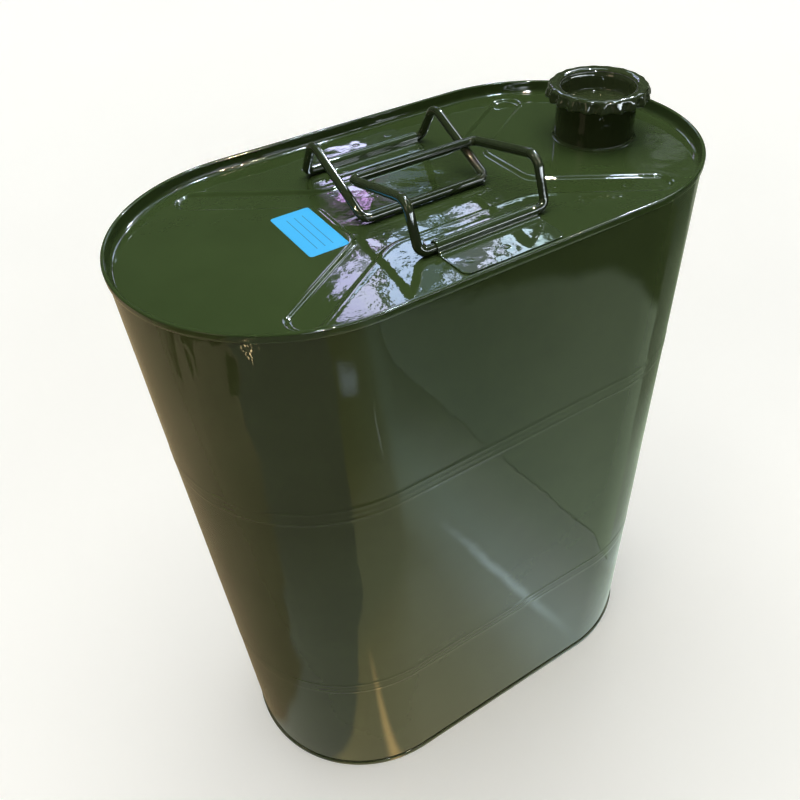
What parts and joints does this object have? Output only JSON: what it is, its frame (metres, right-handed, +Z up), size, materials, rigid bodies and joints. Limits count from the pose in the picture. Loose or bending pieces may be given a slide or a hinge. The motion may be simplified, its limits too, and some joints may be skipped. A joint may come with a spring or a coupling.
{
  "type": "oil can",
  "caption": "Tall flat-oval steel oil can in glossy green enamel: recessed ends in folded seams, screw cap on a neck at one end, folding wire carrying handles on top.",
  "frame": {"origin": "centre of the can's footprint, on the floor", "axes": "+Z up along the can's height; +X along the length, towards the filler neck; Y across the narrow depth, with the near handle's hinge on the -Y side"},
  "size_m": [0.375, 0.2014, 0.4829],
  "materials": {
    "wall_enamel": "high-gloss olive-green enamel with light orange peel",
    "end_enamel": "high-gloss olive-green enamel with light orange peel",
    "fitting_enamel": "high-gloss olive-green enamel with light orange peel",
    "handle_enamel": "high-gloss olive-green enamel with light orange peel",
    "seam_compound": "matte sealing compound, hidden in the seams",
    "gasket_rubber": "matte black oil-proof rubber",
    "label_paper": "satin sky-blue paper sticker"
  },
  "bodies": {
    "can": {"body_shell": "wall_enamel", "top_panel": "end_enamel", "bottom_panel": "end_enamel", "top_seam_compound": "seam_compound", "bottom_seam_compound": "seam_compound", "filler_neck": "fitting_enamel", "neck_weld": "fitting_enamel", "clip_near": "fitting_enamel", "clip_far": "fitting_enamel", "clip_near_welds": "fitting_enamel", "clip_far_welds": "fitting_enamel", "label": "label_paper"},
    "cap_seat": {"cap_gasket": "gasket_rubber"},
    "screw_cap": {"cap": "fitting_enamel"},
    "near_bail": {"handle_near": "handle_enamel"},
    "far_bail": {"handle_far": "handle_enamel"}
  },
  "joints": [
    {"name": "near_handle_swing", "type": "hinge", "parent": "can", "child": "near_bail", "pos_m": [0, -0.0604, 0.45345], "axis": [1, 0, 0], "range_deg": [0, 110]},
    {"name": "far_handle_swing", "type": "hinge", "parent": "can", "child": "far_bail", "pos_m": [0, 0.0604, 0.45345], "axis": [1, 0, 0], "range_deg": [-110, 0]},
    {"name": "cap_lift", "type": "slide", "parent": "can", "child": "cap_seat", "axis": [0, 0, 1], "range_m": [0, 0.015]},
    {"name": "cap_turn", "type": "hinge", "parent": "cap_seat", "child": "screw_cap", "pos_m": [0.132, 0, 0.4804], "axis": [0, 0, 1], "range_deg": [0, 1799]}
  ],
  "couplings": [
    {"joint": "far_handle_swing", "follows": "near_handle_swing", "ratio": -1},
    {"joint": "cap_lift", "follows": "cap_turn", "m_per_rad": 0.00047746}
  ]
}
